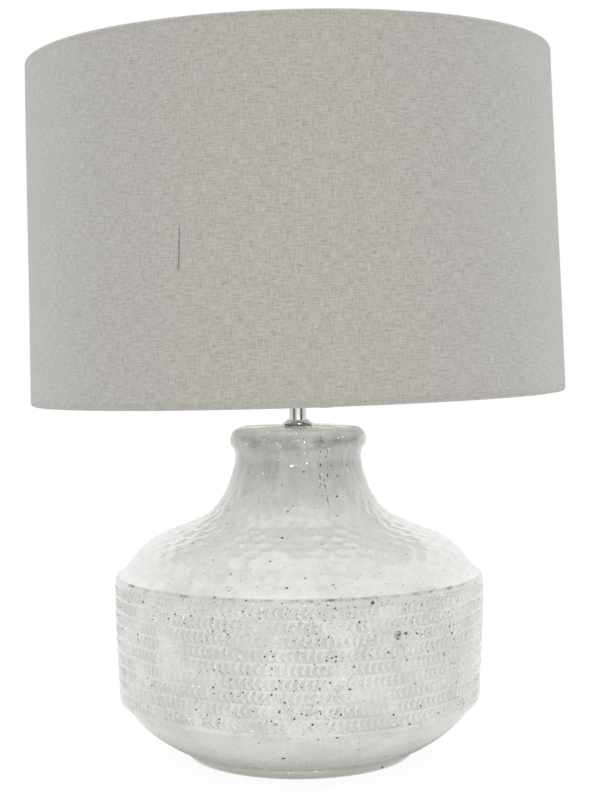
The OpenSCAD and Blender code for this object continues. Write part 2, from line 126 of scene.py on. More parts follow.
class LampStageSettings(bpy.types.PropertyGroup):
    lens: number("Lens", "Focal length of the camera", 71.63, 20.0, 200.0, "CAMERA")
    camera_place: spot("Camera", "Where the camera stands", (0.0018, -1.2057, 0.3154))
    camera_pitch: slope("Pitch", "How far the camera looks down", 2.263)
    camera_roll: slope("Roll", "How far the camera is turned about its own axis", -0.4675)
    floor_radius: size("Floor", "Radius of the round floor", 6.0, 1.0, 20.0)
    floor_colour: colour("Floor colour", "Colour of the floor", (0.86, 0.86, 0.85))
    floor_glow: number("Floor glow", "How far the floor is lifted towards white", 0.86)
    floor_gap: size("Floor gap", "How near the floor lets light through to an underside", 0.012)
    room_colour: colour("Room colour", "Colour of the light all round", WHITE)
    room_low: number("Room, low", "Strength of the light from the sides", 0.22, 0.0, 10.0)
    room_behind: number("Room, behind", "Strength of the light from behind", 0.95, 0.0, 10.0)
    room_high: number("Room, high", "Strength of the light from overhead", 1.45, 0.0, 10.0)
    screen_out: size("Screens, out", "How far each screen stands to the side", 1.5, 0.5, 5.0)
    screen_fore: size("Screens, fore", "How far each screen stands in front", 1.3, 0.0, 5.0)
    screen_width: size("Screens, width", "Width of each screen", 0.75, 0.1, 3.0)
    screen_height: size("Screens, height", "Height of each screen", 1.2, 0.1, 3.0)
    screen_middle: size("Screens, middle", "Height of each screen's middle", 0.62)
    key_power: number("Key", "Power of the broad soft light in front", 3.9, 0.0, 100.0, "POWER")
    key_width: size("Key, width", "Width of the broad soft light", 1.5)
    key_place: spot("Key, place", "Where the broad soft light stands", (0.15, -1.9, 0.6))
    spark_power: number("Spark", "Power of each small light", 1.3, 0.0, 100.0, "POWER")
    spark_width: size("Spark, width", "Width of each small light", 0.06)
    spark_left: spot("Spark, left", "Where the left small light stands", (-0.30, -1.55, 0.45))
    spark_right: spot("Spark, right", "Where the right small light stands", (0.36, -1.55, 0.42))


class LampGlassSettings(bpy.types.PropertyGroup):
    foot_radius: size("Foot", "Radius of the foot", 0.087)
    foot_top: size("Foot top", "Height of the foot's upper edge", 0.0085)
    foot_rounding: size("Foot rounding", "Radius of the foot's lower edge", 0.0044)
    recess_radius: size("Recess", "Radius of the recess in the foot", 0.074)
    recess_top: size("Recess top", "Height of the recess over the table", 0.004)
    opening_radius: size("Opening", "Radius of the opening under the plate", 0.05)
    band_low_radius: size("Band, lower", "Radius at the band's lower edge", 0.1368)
    band_low: size("Band foot", "Height of the band's lower edge", 0.046)
    band_rim: size("Band rim", "Plain height between the band's marks and the ridge", 0.0032)
    ridge_height: size("Ridge", "Height of the ridge over the band", 0.137)
    neck_radius: size("Neck", "Radius of the neck at its narrowest", 0.0483)
    lip_radius: size("Lip", "Radius of the rolled lip", 0.0522)
    lip_rounding: size("Lip rounding", "Radius of the lip's own curve", 0.0097)
    wall: size("Wall", "Thickness of the glass", 0.004)
    nipple_hole: size("Nipple hole", "Radius of the hole in the closed top", 0.0056)
    inlet_hole: size("Inlet hole", "Radius of the hole for the grommet", 0.0052)
    marks: total("Marks", "Number of chevron marks in a row of the band", 168, 24, 240)
    rows: total("Rows", "Number of rows of marks in the band", 9, 1, 16)
    row_shift: number("Row shift", "How far a row is turned on from the one below, in marks", 0.37)
    bend: number("Bend", "How far a mark's two ends trail its point, in marks", 0.95, 0.0, 3.0)
    mark_height: size("Mark height", "How far a mark stands out", 0.0010)
    dimples: total("Dimples", "Number of dimples round the shoulder", 42, 12, 120)
    dimple_pitch: size("Dimple pitch", "Distance between rows of dimples", 0.0098)
    dimple_depth: size("Dimple depth", "Depth of a dimple", 0.0009)
    waviness: size("Waviness", "How far the hand-blown wall wanders", 0.00045)
    wash: colour("Wash", "Colour of the white wash", (0.80, 0.806, 0.785))
    thin_wash: colour("Thin wash", "Colour where the wash is thin", (0.60, 0.61, 0.582))
    # Darker than the wash: partly a thinner wash, partly painted shadow of the drum over the neck.
    neck_glass_and_shadow: colour("Neck glass", "Colour of the thinly washed neck", (0.445, 0.452, 0.43))
    bare_glass: colour("Bare glass", "Colour of the glass at the foot", (0.84, 0.84, 0.75))
    # Also the colour of the painted shade in the ridge's groove and under the lip.
    speck_and_shade: colour("Specks", "Colour of the dark specks", (0.045, 0.043, 0.04))


class LampShadeSettings(bpy.types.PropertyGroup):
    lean: slope("Lean", "How far the drum leans to its left", 1.3)
    low_radius: size("Lower radius", "Outer radius at the lower edge", CLOTH_HIGH[1])
    top_radius: size("Upper radius", "Outer radius at the upper edge", 0.195)
    height: size("Height", "Height of the drum", 0.252)
    thickness: size("Cloth", "Thickness of the linen", 0.0008)
    hoop_wire: size("Hoop wire", "Radius of the hoops' wire", 0.0017)
    fold: size("Fold", "Length of the cloth turned over each hoop", 0.0125)
    lap: size("Lap", "Width of the glued lap at the back", 0.014)
    slack: size("Slack", "How far the stretched cloth wanders", 0.0003)
    thread: size("Thread", "Distance between two threads of the weave", 0.0007)
    linen: colour("Linen", "Main colour of the linen", (0.465, 0.449, 0.417))
    pale_thread: colour("Pale threads", "Colour of the palest threads", (0.56, 0.545, 0.512))
    dark_thread: colour("Dark threads", "Colour of the darkest threads", (0.335, 0.318, 0.290))
    fleck: colour("Flecks", "Colour of the flecks in the yarn", (0.10, 0.09, 0.085))


class LampFinishSettings(bpy.types.PropertyGroup):
    chrome: colour("Chrome", "Colour of the plated stem", (0.71, 0.71, 0.70))
    zinc: colour("Zinc", "Colour of the plated steel", (0.62, 0.60, 0.54))
    brass: colour("Brass", "Colour of the contacts and screw shell", (0.80, 0.60, 0.27))
    nickel: colour("Nickel", "Colour of the bulb's cap", (0.72, 0.70, 0.66))
    white_plastic: colour("White plastic", "Colour of the lampholder", (0.82, 0.815, 0.785))
    steatite: colour("Steatite", "Colour of the lampholder's core", (0.74, 0.70, 0.62))
    coated_wire: colour("Coated wire", "Colour of the fitter", (0.80, 0.80, 0.78))
    liner: colour("Liner", "Colour of the drum's liner", (0.84, 0.825, 0.78))
    opal: colour("Opal", "Colour of the bulb's globe", (0.88, 0.88, 0.85))
    felt: colour("Felt", "Colour of the felt", (0.045, 0.045, 0.045))
    felt_lint: colour("Felt lint", "Colour of the lint in the felt", (0.3, 0.3, 0.3))
    enamel: colour("Enamel", "Colour of the bottom plate", (0.03, 0.03, 0.032))
    rubber: colour("Rubber", "Colour of the rubber washer", (0.03, 0.03, 0.03))
    nylon: colour("Nylon", "Colour of the seat washer and the grommet", (0.78, 0.78, 0.75))
    bulb_body: colour("Bulb body", "Colour of the bulb's plastic", (0.84, 0.84, 0.82))
    vitrite: colour("Vitrite", "Colour of the insulator in the bulb's cap", (0.02, 0.02, 0.024))
    solder: colour("Solder", "Colour of the bulb's tip", (0.60, 0.60, 0.60))
    led_board: colour("LED board", "Colour of the board under the chips", (0.80, 0.81, 0.81))
    phosphor: colour("Phosphor", "Colour of the chips", (0.86, 0.68, 0.12))
    driver_board: colour("Driver board", "Colour of the driver's board", (0.03, 0.16, 0.07))


# ---------------------------------------------------------------- curves and meshes


def mix(a, b, t):
    return a + (b - a) * t


def between(start, end, shares):
    """Points given as shares of the way from start to end, in radius and height."""
    return [(mix(start[0], end[0], u), mix(start[1], end[1], v)) for u, v in shares]


def smooth_line(points, steps):
    """A smooth line through the points, with steps between each two of them."""
    knots = np.array([points[0], *points, points[-1]], dtype=float)
    line = []
    for a, b, c, d in zip(knots, knots[1:], knots[2:], knots[3:]):
        for t in np.arange(steps) / steps:
            line.append(
                0.5 * (2 * b + (c - a) * t + (2 * a - 5 * b + 4 * c - d) * t**2
                       + (3 * b - a - 3 * c + d) * t**3)
            )
    return [tuple(p) for p in line] + [tuple(points[-1])]


def arc(centre, radius, start, end, steps):
    """Points of an arc, with its angles in degrees."""
    angles = np.radians(np.linspace(start, end, steps + 1))
    return [(centre[0] + radius * math.cos(a), centre[1] + radius * math.sin(a)) for a in angles]


def lengths(points):
    """How far along the line each of its points is."""
    return np.concatenate([[0], np.cumsum(np.linalg.norm(np.diff(points, axis=0), axis=1))])


def resample(line, pitch):
    """The line again, with its points about pitch apart."""
    points = np.array(line)
    along = lengths(points)
    count = max(int(round(along[-1] / pitch)), 1)
    places = np.linspace(0, along[-1], count + 1)
    return np.column_stack([np.interp(places, along, points[:, k]) for k in (0, 1)])


def normals(line):
    """The outward normal at each point of a line that runs upwards on the outside."""
    along = np.gradient(line, axis=0)
    out = np.column_stack([along[:, 1], -along[:, 0]])
    return out / np.maximum(np.linalg.norm(out, axis=1, keepdims=True), 1e-9)


def inset(line, depth):
    return line - normals(line) * depth


def smoothstep(low, high, value):
    t = np.clip((value - low) / (high - low), 0, 1)
    return t * t * (3 - 2 * t)


def chance(a, b):
    """A number from 0 to 1 that is always the same for the same two numbers."""
    value = np.sin(a * 12.9898 + b * 78.233) * 43758.5453
    return value - np.floor(value)


def wander(angle, height, waves):
    """A slow, closed wave over a round wall, from -1 to 1."""
    total = 0
    for turns, per_metre, phase in waves:
        total = total + np.sin(turns * angle + per_metre * height + phase)
    return total / len(waves)


def bridge(low, high):
    """Faces between two closed rings, of which one may have a multiple of the other's points."""
    if len(low) > len(high):
        return [tuple(reversed(face)) for face in bridge(high, low)]
    count = len(low)
    ratio = len(high) // count
    faces = []
    for i in range(count):
        upper = [high[(i * ratio + k) % len(high)] for k in range(ratio, -1, -1)]
        faces.append((low[i], low[(i + 1) % count], *upper))
    return faces


def smooth_mesh(name, points, faces):
    """A new object with smooth shading."""
    mesh = bpy.data.meshes.new(name)
    mesh.from_pydata(points, [], faces)
    mesh.validate()
    mesh.update()
    mesh.polygons.foreach_set("use_smooth", [True] * len(mesh.polygons))
    thing = bpy.data.objects.new(name, mesh)
    bpy.context.scene.collection.objects.link(thing)
    return thing


def round_mesh(name, rings):
    """A closed mesh through rings of points, whose last ring joins its first."""
    points, loops = [], []
    for ring in rings:
        loops.append(range(len(points), len(points) + len(ring)))
        points.extend(ring)
    faces = []
    for low, high in zip(loops, loops[1:] + loops[:1]):
        faces.extend(bridge(low, high))
    return smooth_mesh(name, np.array(points).tolist(), faces)


def turn(radius, height, count):
    """A ring of points round Z, starting at the back."""
    angle = np.arange(count) * FULL_TURN / count + math.pi / 2
    radius = np.broadcast_to(radius, angle.shape)
    height = np.broadcast_to(height, angle.shape)
    return np.column_stack([radius * np.cos(angle), radius * np.sin(angle), height])


# ---------------------------------------------------------------- shader nodes


def fill_in(tree, node, inputs):
    """Links or sets a node's inputs."""
    for key, value in inputs.items():
        if isinstance(value, bpy.types.NodeSocket):
            tree.links.new(value, node.inputs[key])
        else:
            node.inputs[key].default_value = value


def add(tree, kind, inputs=None, **settings):
    """A new node with its settings, and with its inputs linked or set."""
    node = tree.nodes.new(kind)
    for key, value in settings.items():
        setattr(node, key, value)
    fill_in(tree, node, inputs or {})
    return node


def calc(tree, operation, *values):
    return add(tree, "ShaderNodeMath", dict(enumerate(values)), operation=operation).outputs[0]


def times(tree, first, *others):
    """The product of two or more values."""
    for other in others:
        first = calc(tree, "MULTIPLY", first, other)
    return first


def most(tree, first, *others):
    """The largest of two or more values."""
    for other in others:
        first = calc(tree, "MAXIMUM", first, other)
    return first


def plus(tree, value, share, rest):
    """A share of value, added to the rest."""
    return calc(tree, "MULTIPLY_ADD", value, share, rest)


def tint(tree, factor, first, second):
    """One colour turning into another as factor goes from 0 to 1."""
    ends = [c if isinstance(c, bpy.types.NodeSocket) else (*c, 1.0) for c in (first, second)]
    node = add(tree, "ShaderNodeMix", {0: factor, 6: ends[0], 7: ends[1]}, data_type="RGBA")
    return node.outputs[2]


def mixed(tree, factor, first, second):
    """One value turning into another as factor goes from 0 to 1."""
    return add(tree, "ShaderNodeMix", {0: factor, 2: first, 3: second}).outputs[0]


def span(tree, value, low, high, to_low=0.0, to_high=1.0):
    """Value taken from one span to another, and kept inside it."""
    inputs = {0: value, 1: low, 2: high, 3: to_low, 4: to_high}
    return add(tree, "ShaderNodeMapRange", inputs).outputs[0]


def falling(tree, value, low, high):
    """1 up to low, 0 from high on."""
    return span(tree, value, low, high, 1.0, 0.0)


def window(tree, value, rise, fall):
    """1 between the rise and the fall, 0 outside them. Each is a low and a high value."""
    return times(tree, span(tree, value, *rise), falling(tree, value, *fall))


def near(tree, value, middle, inner, outer):
    """1 where value is within inner of the middle, 0 where it is more than outer away."""
    off = calc(tree, "ABSOLUTE", calc(tree, "SUBTRACT", value, middle))
    return falling(tree, off, inner, outer)


def grain(tree, vector, scale, detail=3.0, roughness=0.55):
    inputs = {"Vector": vector, "Scale": scale, "Detail": detail, "Roughness": roughness}
    return add(tree, "ShaderNodeTexNoise", inputs).outputs["Fac"]


def stretched(tree, vector, scale):
    return add(tree, "ShaderNodeMapping", {"Vector": vector, "Scale": scale}).outputs[0]


def here(tree):
    """The place on the object, in metres."""
    return add(tree, "ShaderNodeTexCoord").outputs["Object"]


def node_group(tree, name, inputs, outputs, fill, **values):
    """Places a node group that is made on its first use. fill gets its tree and its inputs, and
    returns its outputs. Returns the placed group's outputs."""
    group = bpy.data.node_groups.get(name)
    if group is None:
        group = bpy.data.node_groups.new(name, "ShaderNodeTree")
        for label, default in inputs.items():
            kind = "NodeSocketVector" if isinstance(default, tuple) else "NodeSocketFloat"
            socket = group.interface.new_socket(name=label, in_out="INPUT", socket_type=kind)
            socket.default_value = default
        for label in outputs:
            group.interface.new_socket(name=label, in_out="OUTPUT", socket_type="NodeSocketFloat")
        source = group.nodes.new("NodeGroupInput").outputs
        target = group.nodes.new("NodeGroupOutput").inputs
        for label, value in zip(outputs, fill(group, source)):
            group.links.new(value, target[label])
    node = tree.nodes.new("ShaderNodeGroup")
    node.node_tree = group
    fill_in(tree, node, {key.replace("_", " "): value for key, value in values.items()})
    return node.outputs


def round_the_stem(tree):
    """Angle from the front, height and radius about the object's own Z axis."""

    def fill(inner, _source):
        place = add(inner, "ShaderNodeSeparateXYZ", {0: here(inner)}).outputs
        angle = calc(inner, "ARCTAN2", place[0], times(inner, place[1], -1.0))
        squares = plus(inner, place[0], place[0], calc(inner, "POWER", place[1], 2.0))
        return angle, place[2], calc(inner, "SQRT", squares)

    return node_group(tree, "round the stem", {}, ("Angle", "Height", "Radius"), fill)


def specks(tree, per_metre, share, radius):
    """Round specks in a grid: share is how many cells have one, radius is in cells."""

    def fill(inner, source):
        grid = {"Vector": here(inner), "Scale": source[0]}
        cells = add(inner, "ShaderNodeTexVoronoi", grid).outputs
        lot = add(inner, "ShaderNodeSeparateColor", {0: cells["Color"]}).outputs
        chosen = calc(inner, "LESS_THAN", lot[0], source[1])
        reach = times(inner, source[2], calc(inner, "ADD", lot[1], 0.35))
        round_spot = falling(inner, cells["Distance"], times(inner, reach, 0.7), reach)
        return (times(inner, round_spot, chosen),)

    defaults = {"Per metre": 100.0, "Share": 0.3, "Radius": 0.1}
    return node_group(tree, "specks", defaults, ("Mask",), fill,
                      Per_metre=per_metre, Share=share, Radius=radius)["Mask"]


def smudges(tree, per_metre):
    """Large soft patches where a surface was handled, and finer ones in them."""

    def fill(inner, source):
        wide = grain(inner, here(inner), source[0], 2.0)
        fine = grain(inner, here(inner), times(inner, source[0], 9.0), 4.0, 0.7)
        return (span(inner, plus(inner, fine, 0.4, times(inner, wide, 0.6)), 0.36, 0.64),)

    defaults = {"Per metre": 18.0}
    return node_group(tree, "smudges", defaults, ("Mask",), fill, Per_metre=per_metre)["Mask"]


def turned_marks(tree):
    """Fine rings that a lathe or a polishing wheel leaves about the axis."""

    def fill(inner, source):
        round_it = round_the_stem(inner)
        along = times(inner, round_it["Angle"], 0.0004)
        inputs = {0: round_it["Radius"], 1: along, 2: round_it["Height"]}
        rings = add(inner, "ShaderNodeCombineXYZ", inputs)
        return (grain(inner, rings.outputs[0], source[0], 3.0, 0.7),)

    return node_group(tree, "turned marks", {"Per metre": 3000.0}, ("Value",), fill)["Value"]


def fine_texture(tree, per_metre, stretch=(1.0, 1.0, 1.0)):
    """The fine unevenness of a moulded, cast or coated surface."""

    def fill(inner, source):
        return (grain(inner, stretched(inner, here(inner), source[1]), source[0], 4.0, 0.6),)

    defaults = {"Per metre": 1500.0, "Stretch": (1.0, 1.0, 1.0)}
    return node_group(tree, "fine texture", defaults, ("Value",), fill,
                      Per_metre=per_metre, Stretch=stretch)["Value"]


def chevrons(tree, own):
    """The marks of the band, the gaps between two marks, and the cords that carry both."""

    def fill(inner, source):
        round_it = round_the_stem(inner)
        angle, place = round_it["Angle"], here(inner)
        pitch = (own.ridge_height - own.band_rim - own.band_low) / own.rows
        row = times(inner, calc(inner, "SUBTRACT", round_it["Height"], own.band_low), 1.0 / pitch)
        drift = calc(inner, "SINE", plus(inner, angle, 3.0, 0.8))
        row = plus(inner, drift, 0.07, row)
        up = calc(inner, "ABSOLUTE", calc(inner, "SUBTRACT", calc(inner, "FRACT", row), 0.5))
        shifted = times(inner, calc(inner, "FLOOR", row), own.row_shift)
        phase = plus(inner, angle, own.marks / FULL_TURN, shifted)
        phase = calc(inner, "SUBTRACT", phase, times(inner, up, own.bend))
        ragged = times(inner, grain(inner, place, 420.0), 1.9)
        phase = plus(inner, phase, FULL_TURN, ragged)
        wave = plus(inner, calc(inner, "COSINE", phase), 0.5, 0.5)
        inside = times(inner, calc(inner, "GREATER_THAN", row, 0.0),
                       calc(inner, "LESS_THAN", row, float(own.rows)))
        worn = span(inner, grain(inner, place, source[0], 2.0), 0.36, 0.58, 0.15, 1.0)
        cord = times(inner, falling(inner, up, 0.31, 0.46), inside)
        shown = times(inner, cord, worn)
        mark = times(inner, wave, shown)
        return mark, calc(inner, "SUBTRACT", shown, mark), cord

    return node_group(tree, "chevrons", {"Wear": 38.0}, ("Mark", "Gap", "Cord"), fill)


def surface(name, **constants):
    """A new material and its Principled shader, with constants on the shader's own sockets."""
    material = bpy.data.materials.new(name)
    material.use_nodes = True
    tree = material.node_tree
    shader = tree.nodes["Principled BSDF"]
    connect(tree, shader, **constants)
    return material, tree, shader


def connect(tree, shader, **sources):
    fill_in(tree, shader, {key.replace("_", " "): value for key, value in sources.items()})


def bump(tree, height, distance, strength=1.0, after=None):
    inputs = {"Height": height, "Distance": distance, "Strength": strength}
    if after is not None:
        inputs["Normal"] = after
    return add(tree, "ShaderNodeBump", inputs).outputs["Normal"]


def dimmed(rgb, share):
    return tuple(part * share for part in rgb)


def metal(name, rgb, roughness, tarnish):
    """Plated or turned metal: fine rings, soft smudges and a little tarnish."""
    material, tree, shader = surface(name, Metallic=1.0)
    marks = turned_marks(tree)
    patches = smudges(tree, 60.0)
    base = tint(tree, times(tree, patches, tarnish), rgb, dimmed(rgb, 0.62))
    rough = span(tree, times(tree, patches, marks), 0.0, 0.6, roughness, roughness * 2.1)
    connect(tree, shader, Base_Color=base, Roughness=rough,
            Normal=bump(tree, marks, 0.00001 * roughness))
    return material


def moulded(name, rgb, roughness, per_metre=1400.0, depth=0.00003):
    """Moulded plastic or an unglazed body: a fine grain and slightly worn patches."""
    material, tree, shader = surface(name)
    fine = fine_texture(tree, per_metre)
    patches = smudges(tree, 30.0)
    base = tint(tree, times(tree, patches, 0.7), rgb, dimmed(rgb, 0.93))
    base = tint(tree, specks(tree, 700.0, 0.05, 0.10), base, dimmed(rgb, 0.55))
    rough = span(tree, patches, 0.0, 1.0, roughness, roughness * 1.35)
    connect(tree, shader, Base_Color=base, Roughness=rough, Normal=bump(tree, fine, depth))
    return material


# Height and strength of each wavy seam that the mould left above the foot.
SEAMS = ((0.018, 0.7), (0.022, 0.5))
# Angle from the front, lower end and upper end of each fine crack in the neck.
CRACKS = ((0.33, 0.205, 0.246), (0.44, 0.198, 0.236), (0.39, 0.190, 0.214))


class WashedGlass:
    """Glass over a white wash. Each method gives one effect, as a mask from 0 to 1 or near it."""

    band_edge = (0.036, 0.050)  # heights over which the band's look sets in
    neck_edge = (0.184, 0.221)  # and the neck's
    glint_edge = (0.030, 0.045)  # and the painted glints
    # Heights of the painted shade under the rolled lip.
    lip_shade_heights = (0.2325, 0.235), (0.240, 0.244)  # its lower and its upper edge

    def __init__(self, own):
        self.own = own
        self.material, self.tree, self.shader = surface(
            "white washed glass", IOR=1.5, Coat_Weight=1.0, Coat_Roughness=0.015, Coat_IOR=1.5)
        round_it = round_the_stem(self.tree)
        self.height, self.angle = round_it["Height"], round_it["Angle"]
        self.place = here(self.tree)
        self.marked = chevrons(self.tree, own)
        self.runs = self.grain(120.0, stretch=(1.0, 1.0, 0.16))
        self.in_band = window(self.tree, self.height, self.band_edge,
                              (own.ridge_height - 1 * MM, own.ridge_height + 2 * MM))

    def grain(self, per_metre, detail=3.0, roughness=0.55, stretch=None):
        place = stretched(self.tree, self.place, stretch) if stretch else self.place
        return grain(self.tree, place, per_metre, detail, roughness)

    def thin(self):
        """Where the wash is thin: in clouds and runs; and, as painted shade, in the dimples and in the
        gaps of the band, with the raised marks lighter as a painted highlight.
        """
        tree, marked, in_band = self.tree, self.marked, self.in_band
        cloudy = self.grain(32.0, 5.0, 0.62)
        sugary = self.grain(330.0, 4.0, 0.6)
        milk = plus(tree, sugary, 0.30, times(tree, cloudy, 0.45))
        milk = plus(tree, mixed(tree, in_band, self.runs, cloudy), 0.25, milk)
        thin = times(tree, span(tree, milk, 0.44, 0.62), 0.7)
        # Painted shade: darker in the dimples.
        relief = add(tree, "ShaderNodeAttribute", attribute_name="relief").outputs["Fac"]
        thin = most(tree, thin, span(tree, relief, 0.0, 1.0, 0.95, 0.0))
        bold = span(tree, self.height, self.own.band_low, self.own.ridge_height, 0.75, 1.35)
        # Painted shade in the gaps between the marks, stronger towards the ridge.
        thin = plus(tree, marked["Gap"], bold, thin)
        # Light and dark flecks on the cords, partly painted sparkle.
        flecks_and_sparkle = span(tree, self.grain(900.0, 2.0, 0.7), 0.34, 0.66, -0.5, 0.5)
        thin = plus(tree, times(tree, flecks_and_sparkle, marked["Cord"]), 0.9, thin)
        thin = plus(tree, in_band, 0.30, thin)
        # Painted highlight: the raised marks lighter.
        thin = calc(tree, "SUBTRACT", thin, times(tree, marked["Mark"], 0.20))
        return span(tree, thin, 0.0, 1.5, 0.0, 1.5)

    def neck(self):
        # Painted shadow of the drum, mixed with the neck's thinner wash: darker from neck_edge
        # upwards.
        rise = span(self.tree, self.height, *self.neck_edge)
        return times(self.tree, rise, span(self.tree, self.runs, 0.35, 0.6, 0.72, 1.0))

    def foot(self):
        top = self.own.foot_top
        wavy = span(self.tree, self.grain(30.0, stretch=(1.0, 1.0, 7.0)), 0.40, 0.60)
        return times(self.tree, falling(self.tree, self.height, top * 0.6, top * 3.4),
                     span(self.tree, wavy, 0.0, 1.0, 0.35, 1.0))

    def seam(self, level, strength):
        wobble = self.grain(26.0, stretch=(1.0, 1.0, 0.3))
        line = near(self.tree, self.height, plus(self.tree, wobble, -0.016, level), 0.0003, 0.0011)
        return times(self.tree, line, span(self.tree, self.grain(60.0), 0.42, 0.60, 0.0, strength))

    def shade_under_ridge(self):
        """Painted shadow: a darker plain strip between the marks and the ridge, under the ridge's
        edge.
        """
        ridge = self.own.ridge_height
        rise, fall = (ridge - 7 * MM, ridge - 3 * MM), (ridge - 0.6 * MM, ridge)
        return times(self.tree, window(self.tree, self.height, rise, fall), 0.75)

    def shade_in_ridge_groove(self):
        """Painted shade: a broken dark line in the groove of the ridge."""
        line = near(self.tree, self.height, self.own.ridge_height + 0.2 * MM, 0.0004, 0.0014)
        broken = span(self.tree, self.grain(130.0, 4.0, 0.7), 0.50, 0.66, 0.10, 0.9)
        return times(self.tree, line, broken)

    def flecks(self):
        """Dark specks of several sizes, crowded in patches of the band."""
        tree = self.tree
        patchy = times(tree, self.in_band, span(tree, self.grain(24.0, 2.0), 0.40, 0.60))
        crowd = plus(tree, patchy, 0.85, 0.10)
        dots = specks(tree, 250.0, crowd, 0.20)
        crumbs = times(tree, specks(tree, 520.0, times(tree, crowd, 0.95), 0.27), 0.6)
        large = specks(tree, 85.0, times(tree, crowd, 0.5), 0.11)
        blots = times(tree, specks(tree, 34.0, times(tree, self.in_band, 0.45), 0.11),
                      span(tree, self.grain(500.0, 4.0, 0.75), 0.44, 0.58))
        return most(tree, dots, large, crumbs, blots)

    def crack(self, side, low, high):
        tree = self.tree
        drift = span(tree, self.grain(70.0, 4.0, 0.7), 0.3, 0.7, side - 0.03, side + 0.03)
        line = near(tree, self.angle, drift, 0.004, 0.012)
        reach = window(tree, self.height, (low, low + 4 * MM), (high - 4 * MM, high))
        gaps = span(tree, self.grain(300.0, 3.0, 0.7), 0.47, 0.57, 0.0, 0.95)
        return times(tree, line, reach, gaps)

    def shade_under_lip(self):
        """Painted shade in the hollow under the rolled lip, broken into patches."""
        shade_patches = span(self.tree, self.grain(55.0, 5.0, 0.7, (1.0, 1.0, 2.0)), 0.46, 0.64, 0.0, 0.45)
        return times(self.tree, window(self.tree, self.height, *self.lip_shade_heights), shade_patches)

    def painted_glints(self):
        """Painted glints: small white spots that stand in for highlights, in clusters above the foot.
        """
        tree = self.tree
        crowd = times(tree, span(tree, self.grain(75.0, 2.0), 0.46, 0.60, 0.06, 0.75),
                      span(tree, self.height, *self.glint_edge))
        return times(tree, specks(tree, 310.0, crowd, 0.20), 0.95)

    def relief(self):
        """The normals of the clear surface, and of the wash with its finer grain below it."""
        tree, own = self.tree, self.own
        embossed = plus(tree, self.marked["Cord"], 0.25, self.marked["Mark"])
        rippled = bump(tree, self.grain(90.0, 2.0), 0.0005, 0.6)
        glossy = bump(tree, embossed, own.mark_height * 0.9, 0.9, rippled)
        return glossy, bump(tree, self.grain(420.0), 0.0001, 0.7, glossy)

    def build(self):
        tree, own = self.tree, self.own
        base = tint(tree, self.thin(), own.wash, own.thin_wash)
        # The neck's colour: partly thinner wash, partly painted shadow of the drum.
        base = tint(tree, self.neck(), base, own.neck_glass_and_shadow)
        base = tint(tree, self.foot(), base, own.bare_glass)
        for seam in SEAMS:
            base = tint(tree, self.seam(*seam), base, dimmed(own.bare_glass, 0.55))
        # Painted shadow under the ridge, in the thin wash's colour.
        base = tint(tree, self.shade_under_ridge(), base, own.thin_wash)
        cracks = [self.crack(*crack) for crack in CRACKS]
        # Real specks and cracks, together with painted shade in the ridge's groove and under the lip.
        dark = most(tree, self.flecks(), self.shade_in_ridge_groove(), self.shade_under_lip(), *cracks)
        base = tint(tree, dark, base, own.speck_and_shade)
        # Painted glints in white.
        base = tint(tree, self.painted_glints(), base, WHITE)
        glossy, normal = self.relief()
        rough = span(tree, smudges(tree, 20.0), 0.0, 1.0, 0.22, 0.42)
        connect(tree, self.shader, Base_Color=base, Roughness=rough, Normal=normal,
                Coat_Normal=glossy)
        return self.material


# The one dark thread of the shade: how far it is from the front, its slant, and where it fades.
DARK_THREAD_AT, DARK_THREAD_SLANT = -0.0817, -0.06
DARK_THREAD_ENDS = (0.088, 0.092), (0.116, 0.120)


